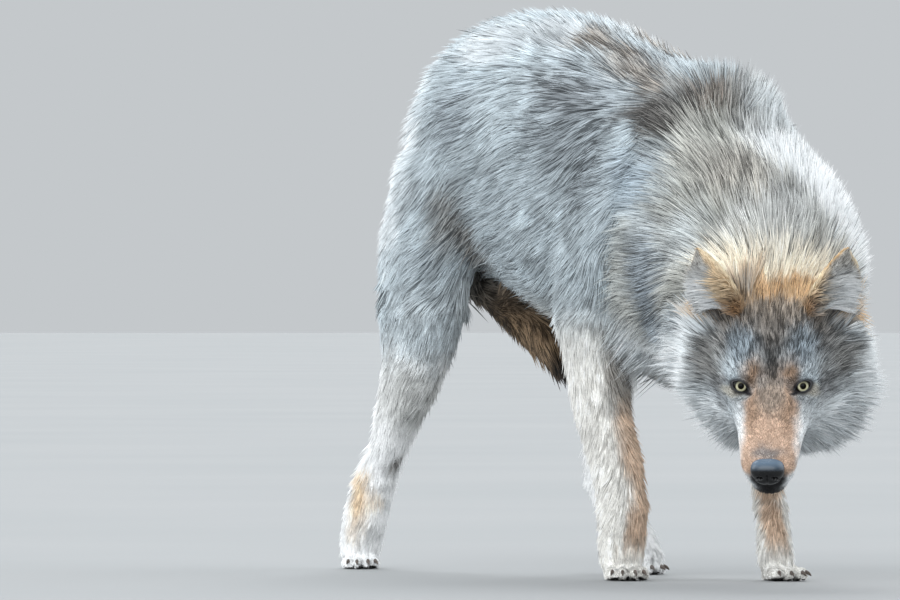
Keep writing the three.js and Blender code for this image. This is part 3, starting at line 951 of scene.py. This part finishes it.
def scatterRoots():
    # roots spread by density, each with the skin's fields at its place
    skinMesh.calc_loop_triangles()
    tris = readArray(skinMesh.loop_triangles, "vertices", 3, np.int32)
    a, b, c = (points[tris[:, k]] for k in range(3))
    area = np.linalg.norm(np.cross(b - a, c - a), axis=1) / 2
    weight = np.cumsum(area * density[tris].mean(1))
    count = coatShape["tufts"]
    chosen = np.searchsorted(weight, (np.arange(count) + dice.random(count)) / count * weight[-1])
    chosen = tris[np.minimum(chosen, len(tris) - 1)]
    r, s = np.sqrt(dice.random(count)), dice.random(count)
    shares = np.stack([1 - r, r * (1 - s), r * s], 1)[:, :, None]

    def atRoots(values):
        mixed = (values.reshape(len(points), -1)[chosen] * shares).sum(1)
        return mixed[:, 0] if values.ndim == 1 else mixed

    fields = {"root": points, "normal": normals, "lie": flow, "tip": tipColour, "base": rootColour,
              "length": length, "width": width, "lift": lift, "dark": darkShare, "loose": loose}
    rows = {name: atRoots(values) for name, values in fields.items()}
    rows["normal"] = unit(rows["normal"])
    return rows, family[chosen[:, 0]]


def leadersOf(root, every):
    # one root in so many leads; each tuft goes with the nearest
    leaders = np.arange(0, len(root), every)
    lockTree = KDTree(len(leaders))
    for k, place in enumerate(root[leaders].tolist()):
        lockTree.insert(place, k)
    lockTree.balance()
    return leaders, np.array([lockTree.find(place)[1] for place in root.tolist()])


def shapeTufts(rows, locks, tresses):
    # four corners for each tuft: its root, its two widest places and its tip
    root, normal = rows["root"], rows["normal"]
    count = len(root)
    lie = unit(rows["lie"] - normal * np.sum(rows["lie"] * normal, 1, keepdims=True))
    guard = dice.random(count) < coatShape["guard"] * ease(9, 16, rows["length"])
    long = rows["length"] * mm * dice.uniform(0.7, 1.15, count) * np.where(guard, 1.3, 1)
    wide = rows["width"] * mm * dice.uniform(0.7, 1.3, count) * np.where(guard, 0.6, 1)
    rise = np.clip(rows["lift"] * dice.uniform(0.65, 1.3, count) * np.where(guard, 1.3, 1), 0.05, 1.3)
    across = np.cross(lie, normal)
    lie = unit(lie + across * dice.normal(0, 0.14, count)[:, None])
    across = np.cross(lie, normal)
    reach = lie * np.cos(rise)[:, None] + normal * np.sin(rise)[:, None]
    tip = root + reach * long[:, None]

    # each tuft leans to the tip of its lock, and less to that of the wider tress
    for (leaders, own), share in ((locks, coatShape["gather"]), (tresses, coatShape["sway"])):
        lead = leaders[own]
        pull = share * dice.uniform(0.4, 1.3, count)[:, None] * np.where(guard, 0.3, 1)[:, None]
        drawn = root[lead] + (tip[lead] - root[lead]) * (long / np.maximum(long[lead], 1e-6))[:, None]
        tip = tip + (drawn - tip) * pull

    # the coat ends at the solids' own outline, but for a few loose hairs
    found = [flesh.find_nearest(place)[:2] for place in tip.tolist()]
    near, way = (np.array([pair[k] for pair in found]) for k in (0, 1))
    loose = rows["loose"] + np.where(guard, 6, 0) * dice.random(count)
    beyond = np.sum((tip - near) * way, 1) - loose * mm
    tip = tip - way * (np.maximum(beyond, 0) * 0.9)[:, None]
    tip[:, 2] = np.maximum(tip[:, 2], 0.4 * mm)

    bend = normal * np.maximum(long * 0.035, wide * 0.35)[:, None]
    twist = dice.normal(0, 0.35, count)[:, None]
    half = unit(across + normal * twist) * wide[:, None] / 2
    centre = root + (tip - root) * coatShape["belly"] + bend
    centre[:, 2] = np.maximum(centre[:, 2], 0.8 * mm)
    corners = np.stack([root - normal * coatShape["sink"] * mm, centre - half, centre + half, tip], 1)
    corners[:, :, 2] = np.maximum(corners[:, :, 2], 0.2 * mm)

    # lit as one soft coat: faces take the skin's own normal, turned a little to their side
    aside = half / np.linalg.norm(half, axis=1, keepdims=True)
    shading = np.stack([normal, unit(normal - aside * 0.7), unit(normal + aside * 0.7)], 1)
    return corners, shading


def colourTufts(rows, locks, tresses):
    # one colour for each corner; tone drifts from lock to lock, more where dark hairs are many
    (leaders, lock), (heads, tress) = locks, tresses
    rootShade, darkOdds = rows["base"], rows["dark"]
    count = len(rootShade)
    uneven = 1 + 1.8 * darkOdds
    lockTone = 1 + uneven * 0.11 * dice.normal(0, 1, len(leaders))[lock]
    lockTone = lockTone + uneven * 0.10 * dice.normal(0, 1, len(heads))[tress]
    tone = np.clip(dice.normal(1, 0.12, count) * lockTone, 0.35, 1.6)[:, None]
    clump = (dice.random(len(leaders)) ** 2 * 3)[lock]  # dark hairs come together
    isDark = (dice.random(count) < darkOdds * clump)[:, None]
    tipShade = np.where(isDark, rows["tip"] * 0.25, rows["tip"]) * tone
    midShade = np.where(isDark, tipShade * 0.5 + rootShade * 0.4, tipShade * 0.6 + rootShade * 0.4 * tone)
    # painted shade: the root corner is darkened by a further quarter, for the shade deep among the tufts
    return np.clip(np.stack([rootShade * 0.75, midShade, midShade, tipShade], 1), 0, 1)


def unwrapPlaces(places, normal, name):
    # where a root sits on its own part of the skin unrolled round its axis, 0 to 1 both ways
    local = places - places.mean(0)
    if name.startswith("coat_head"):
        local = toHead(places) * mm
        angle, along = np.arctan2(local[:, 0], local[:, 2] + 0.03), local[:, 1]
    elif name.startswith(("coat_trunk", "coat_tail")):
        angle, along = np.arctan2(local[:, 0], local[:, 2]), places[:, 1]
    elif name.startswith("coat_neck"):
        angle, along = np.arctan2(local[:, 0], local[:, 2]), places @ neckWay
    else:
        angle, along = np.arctan2(normal[:, 0], normal[:, 1]), places[:, 2]
    u = (angle - angle.min()) / max(np.ptp(angle), 1e-6)
    v = (along - along.min()) / max(np.ptp(along), 1e-6)
    return np.stack([u, v], 1) * 0.99 + 0.005


def meshFromTufts(name, verts, colours, shading, places):
    count, corners = len(verts), verts.shape[1]
    mesh = bpy.data.meshes.new(name)
    mesh.vertices.add(count * corners)
    mesh.vertices.foreach_set("co", verts.ravel())
    faces = (spindle[None] + np.arange(count)[:, None, None] * corners).reshape(-1, 3)
    mesh.loops.add(faces.size)
    mesh.loops.foreach_set("vertex_index", faces.ravel())
    mesh.polygons.add(len(faces))
    mesh.polygons.foreach_set("loop_start", np.arange(len(faces)) * 3)
    mesh.update(calc_edges=True)
    mesh.shade_smooth()
    mesh.normals_split_custom_set(shading[:, np.repeat((0, 0, 1, 2), 3)].reshape(-1, 3).tolist())
    addColour(mesh, colours.reshape(-1, 3))
    patch = np.array([(0, 0), (-0.5, 0.42), (0.5, 0.42), (0, 1)]) * coatShape["patch"]
    spots = places[:, None] + patch[None]
    layer = mesh.uv_layers.new(name="OFBake")
    layer.data.foreach_set("uv", spots[:, spindle].reshape(-1, 2).ravel())
    mesh.materials.append(hair)
    return newObject(name, mesh)


coatPieces = {
    # piece: families, side, slot
    "coat_trunk_left": (("trunk",), 1, "coat_body"),
    "coat_trunk_right": (("trunk",), -1, "coat_body"),
    "coat_neck_left": (("neck",), 1, "coat_mane"),
    "coat_neck_right": (("neck",), -1, "coat_mane"),
    "coat_head_face_left": (("head", "lower_jaw"), 1, "coat_face"),
    "coat_head_face_right": (("head", "lower_jaw"), -1, "coat_face"),
    "coat_head_crown": (("head", "lower_jaw"), 0, "coat_face"),
    "coat_ears": (("ear",), 0, "coat_face"),
    "coat_fore_left": (("upper_arm", "forearm", "paw"), 1, "coat_legs"),
    "coat_fore_right": (("upper_arm", "forearm", "paw"), -1, "coat_legs"),
    "coat_hind_left": (("thigh", "shin", "foot"), 1, "coat_legs"),
    "coat_hind_right": (("thigh", "shin", "foot"), -1, "coat_legs"),
    "coat_tail": (("tail",), 0, "coat_body"),
}


def makeCoat():
    rows, tuftFamily = scatterRoots()
    locks, tresses = (leadersOf(rows["root"], coatShape[kind]) for kind in ("lock", "tress"))
    corners, shading = shapeTufts(rows, locks, tresses)
    colours = colourTufts(rows, locks, tresses)
    rootHead = toHead(rows["root"])
    onMane = np.isin(tuftFamily, [families.index(part) for part in ("neck", "head", "lower_jaw")])
    fromMiddle = np.where(onMane, rootHead[:, 0], rows["root"][:, 0] / mm - middleX)
    for name, (parts, side, slot) in coatPieces.items():
        mine = np.isin(tuftFamily, [families.index(part) for part in parts])
        if side:
            mine &= (fromMiddle >= 0) == (side > 0)
        if name.startswith("coat_head"):
            mine &= (rootHead[:, 1] < 12) == ("face" in name)  # the face ends 12 mm behind the eyes
        places = unwrapPlaces(rows["root"][mine], rows["normal"][mine], name)
        made = meshFromTufts(name, corners[mine], colours[mine], shading[mine], places)
        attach(made, "root")
        print(name, mine.sum(), "tufts", mine.sum() * len(spindle), "triangles")


makeCoat()
print("coat grown")

# eyes, lids, nose


def surface(name, point, across, along, material):
    # a sheet of faces bent to point(u, v), its seams welded
    bm = bmesh.new()
    bmesh.ops.create_grid(bm, x_segments=across, y_segments=along, size=0.5)
    for vert in bm.verts:
        vert.co = point(vert.co.x + 0.5, vert.co.y + 0.5)
    bmesh.ops.remove_doubles(bm, verts=bm.verts, dist=0.01 * mm)
    bmesh.ops.recalc_face_normals(bm, faces=bm.faces)
    mesh = meshOf(bm, name)
    mesh.shade_smooth()
    mesh.materials.append(material)
    return newObject(name, mesh)


def makeIris():
    # living eye: clear wet cornea over a fibrous pale yellow iris, so it looks glassy with depth
    made, tree = newMaterial("wet_eye")
    local = addNode(tree, "ShaderNodeAttribute", attribute_name="gaze")
    parts = addNode(tree, "ShaderNodeSeparateXYZ", [("Vector", local.outputs["Vector"])])
    flat = addNode(tree, "ShaderNodeCombineXYZ", [("X", parts.outputs["X"]), ("Y", parts.outputs["Y"])])
    away = addNode(tree, "ShaderNodeVectorMath", [(0, flat.outputs[0])], operation="LENGTH")
    spoke = addNode(tree, "ShaderNodeVectorMath", [(0, flat.outputs[0])], operation="NORMALIZE")
    fibre = addNode(tree, "ShaderNodeTexNoise", [("Vector", spoke.outputs[0])], Scale=14.0, Detail=3.0)
    wave = addNode(tree, "ShaderNodeMapRange", [("Value", fibre.outputs["Fac"])], To_Min=-0.45, To_Max=0.45)
    wavy = [(0, away.outputs["Value"]), (1, wave.outputs["Result"])]
    reach = addNode(tree, "ShaderNodeMath", wavy, operation="ADD")
    share = addNode(tree, "ShaderNodeMath", [(0, reach.outputs[0])], operation="DIVIDE")
    share.inputs[1].default_value = 10.0  # mm at the ramp's end
    ramp = addNode(tree, "ShaderNodeValToRGB", [("Fac", share.outputs[0])])
    rings = [(0.0, "010101"), (0.37, "020202"), (0.41, "625c44"), (0.49, "b5b194"), (0.62, "aca98f"),
             (0.71, "5e5b49"), (0.765, "1c1a16"), (0.82, "0b0a0a"), (1.0, "181312")]
    setStops(ramp, rings)
    # painted shade and light: the top of the iris is darkened where the upper lid and its lashes keep the
    # light off, and the bottom is brightened a little as painted light
    shade = addNode(tree, "ShaderNodeMapRange", [("Value", parts.outputs["Y"])], From_Min=-1.0, From_Max=4.5,
                    To_Min=1.15, To_Max=0.32)
    toned = addNode(tree, "ShaderNodeVectorMath", [(0, ramp.outputs["Color"]), (1, shade.outputs["Result"])],
                    operation="MULTIPLY")
    return finishMaterial(tree, made, [("Base Color", toned.outputs["Vector"])], Roughness=0.2, IOR=1.38,
                          Specular_IOR_Level=0.03, Coat_Weight=0.25, Coat_Roughness=0.02, Coat_IOR=1.33)


def grainedLinks(tree, scale, detail, stops):
    # two tones and a fine relief from the same grain
    place = addNode(tree, "ShaderNodeTexCoord")
    grain = addNode(tree, "ShaderNodeTexNoise", [("Vector", place.outputs["Object"])],
                    Scale=scale, Detail=detail)
    ramp = addNode(tree, "ShaderNodeValToRGB", [("Fac", grain.outputs["Fac"])])
    setStops(ramp, stops)
    bump = addNode(tree, "ShaderNodeBump", [("Height", grain.outputs["Fac"])], Strength=0.3, Distance=0.0004)
    return [("Base Color", ramp.outputs["Color"]), ("Normal", bump.outputs[0])]


def makeLidSkin():
    # bare moist skin: near black, grain of 0.7 mm, wet highlights along the edge
    made, tree = newMaterial("moist_black_skin")
    links = grainedLinks(tree, 1400.0, 3.0, [(0.3, "0f0e10"), (0.7, "26262b")])
    return finishMaterial(tree, made, links, Roughness=0.34, Specular_IOR_Level=0.5)


gazeWay = unit((0.10, -0.80, 0.585))  # the eyes look back at the onlooker
lidSkin, irisLook = makeLidSkin(), makeIris()


def eyeballPoint(side):
    centre = eyeCentre(side)
    along = unit(np.cross((0, 0, 1), gazeWay))
    axes = np.stack([along, np.cross(gazeWay, along), gazeWay], 1)

    def point(u, v):
        turn, fall = u * 2 * math.pi, v * math.pi
        bulge = 0.9 * float(1 - ease(0.35, 0.72, np.array(fall)))
        r, wide = eyeRadius - 0.4 + bulge, math.sin(fall)
        local = np.array((wide * math.cos(turn), wide * math.sin(turn), math.cos(fall))) * r
        return fromHead(centre + axes @ local)

    return point, centre, axes


def lidPoint(side):
    # a rolled rim round the slit: from the ball out over the edge and back under the fur
    # pairs: how far out, 1 at the slit's edge, and mm above the ball
    profile = [(0.90, 0.1), (0.95, 0.7), (1.04, 1.25), (1.16, 1.4), (1.30, 1.1), (1.45, 0.3), (1.42, -1.6),
               (1.1, -1.4), (0.90, 0.1)]

    def point(u, v):
        turn = u * 2 * math.pi
        c, s = math.cos(turn), math.sin(turn)
        edge = 1 / float(slit(np.array(c), np.array(s)))
        slot = v * (len(profile) - 1)
        k = min(int(slot), len(profile) - 2)
        mixed = [a + (b - a) * (slot - k) for a, b in zip(profile[k], profile[k + 1])]
        r = edge + (mixed[0] - 1) * 6.5
        x, y = c * r, s * r
        if c < 0:
            x -= 3.4 * (-c) ** 10  # the inner corner runs down towards the nose
            y -= 3.2 * (-c) ** 10
        ball = math.sqrt(max(eyeRadius**2 - x * x - y * y, (0.42 * eyeRadius) ** 2))
        return fromHead(fromLid((x, y, ball + mixed[1]), side))

    return point


for word, side in (("left", 1), ("right", -1)):
    point, centre, axes = eyeballPoint(side)
    ball = surface(f"eyeball_{word}", point, 64, 48, irisLook)
    local = (toHead(readArray(ball.data.vertices, "co", 3)) - centre) @ axes
    layer = ball.data.attributes.new("gaze", "FLOAT_VECTOR", "POINT")
    layer.data.foreach_set("vector", local.ravel())
    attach(ball, "root")
    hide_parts(f"eye_{word}")
    rim = surface(f"eyelid_{word}", lidPoint(side), 96, 32, lidSkin)
    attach(rim, "root")
print("eyes and lids")

# sizes and middle on the head's own axes, mm, and how boxy it is
nosePad = {"width": 44, "height": 34, "depth": 30, "at": (0, -124, -51), "power": 2.5}


def makeNoseLeather():
    # nose leather: black, pebbled in cells of 1 mm, damp; its upper part is painted blue-grey as a painted
    # reflection of the sky
    made, tree = newMaterial("damp_nose_leather")
    place = addNode(tree, "ShaderNodeTexCoord")
    cells = addNode(tree, "ShaderNodeTexVoronoi", [("Vector", place.outputs["Object"])], Scale=1000.0)
    ramp = addNode(tree, "ShaderNodeValToRGB", [("Fac", cells.outputs["Distance"])])
    setStops(ramp, [(0.0, "17191c"), (0.6, "070708")])
    parts = addNode(tree, "ShaderNodeSeparateXYZ", [("Vector", place.outputs["Object"])])
    # painted reflection: above half the nose's height the colour blends to blue-grey 5a6b7c, standing in for
    # the sky mirrored in the damp top
    low, high = (corner[2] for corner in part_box("nose"))
    sky = addNode(tree, "ShaderNodeMapRange", [("Value", parts.outputs["Z"])],
                  From_Min=low + 0.5 * (high - low), From_Max=low + 0.85 * (high - low))
    colour = addNode(tree, "ShaderNodeMix", [("Factor", sky.outputs["Result"])], data_type="RGBA")
    tree.links.new(ramp.outputs["Color"], colour.inputs["A"])
    colour.inputs["B"].default_value = (*linear("5a6b7c"), 1)
    damp = addNode(tree, "ShaderNodeTexNoise", [("Vector", place.outputs["Object"])], Scale=160.0, Detail=3.0)
    gloss = addNode(tree, "ShaderNodeMapRange", [("Value", damp.outputs["Fac"])], To_Min=0.16, To_Max=0.34)
    bump = addNode(tree, "ShaderNodeBump", [("Height", cells.outputs["Distance"])], invert=True,
                   Strength=0.35, Distance=0.0004)
    links = [("Base Color", colour.outputs["Result"]), ("Roughness", gloss.outputs["Result"]),
             ("Normal", bump.outputs[0])]
    return finishMaterial(tree, made, links, Coat_Weight=0.25, Coat_Roughness=0.1, Specular_IOR_Level=0.28)


def mound(*offsets):
    # 1 at its middle, falling away smoothly
    return math.exp(-sum(offset * offset for offset in offsets))


def nosePoint(u, v):
    turn, fall = u * 2 * math.pi, v * math.pi
    way = np.array((math.sin(fall) * math.cos(turn), math.cos(fall), math.sin(fall) * math.sin(turn)))
    power = nosePad["power"]
    x, y, z = way / (np.sum(np.abs(way) ** power)) ** (1 / power)
    x *= 1 + 0.10 * z - 0.12 * max(-z, 0)
    half = np.array((nosePad["width"], nosePad["depth"], nosePad["height"])) / 2
    place = np.array((x, y, z)) * half
    if y < 0.3:
        side, high = abs(place[0]), place[2]
        hole = mound((side - 9.5) / 3.6, (high + 2) / 3.2) * min(1, max(0, -y * 1.6))
        tail = mound((side - 16) / 3.6, (high + 6 + (side - 16) * 0.2) / 1.8) * min(1, max(0, 0.3 - y))
        wing = mound((side - 13) / 6, (high - 3) / 4) * min(1, max(0, 0.4 - y))
        groove = mound(side / 1.1, max(0, high - 4) / math.sqrt(8)) * max(0, -y)
        place[1] += 6.5 * hole + 3.0 * tail - 1.2 * wing + 1.6 * groove
        place[0] -= math.copysign(2.0 * tail, place[0])
    return fromHead(place + nosePad["at"])


nose = surface("nose_pad", nosePoint, 96, 72, makeNoseLeather())
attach(nose, "root")
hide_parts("nose")


def makeHorn():
    # claw keratin: dark brown horn laid down in layers of 2 mm
    made, tree = newMaterial("claw_keratin")
    links = grainedLinks(tree, 500.0, 4.0, [(0.3, "2a2320"), (0.7, "5a4b40")])
    return finishMaterial(tree, made, links, Roughness=0.4, IOR=1.55)


clawShape = {"thick": 2.5, "tall": 3.2, "arch": 2.4}  # half sizes at the root, rise of the arch, mm


def clawPoint(foot, name):
    # from its root in the toe the claw arches down to a blunt worn tip
    ahead = footAxes(foot)[1]
    corners = readArray(nodes[name].data.vertices, "co", 3)
    reach = corners @ ahead
    start = corners[reach < reach.min() + 3 * mm].mean(0)
    tip = corners[reach > reach.max() - 1.5 * mm].mean(0)
    knee = (start + tip) / 2 + np.array((0, 0, clawShape["arch"] * mm))
    size = np.array((clawShape["thick"], clawShape["tall"])) * mm

    def point(u, v):
        turn = u * 2 * math.pi
        spine = start * (1 - v) ** 2 + knee * 2 * v * (1 - v) + tip * v * v
        along = unit((knee - start) * (1 - v) + (tip - knee) * v)
        side = unit(np.cross(along, (0, 0, 1)))
        above = np.cross(side, along)
        thick = (1 - 0.74 * v**1.3) * min(1, math.sqrt(min(v, 1 - v) * 14))
        return spine + (side * math.cos(turn) * size[0] + above * math.sin(turn) * size[1]) * thick

    return point


horn = makeHorn()
for foot in footNames:
    for name in clawNames(foot):
        claw = surface(f"horn_{name[5:]}", clawPoint(foot, name), 20, 14, horn)
        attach(claw, "root")
        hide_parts(name)
print("nose and claws")
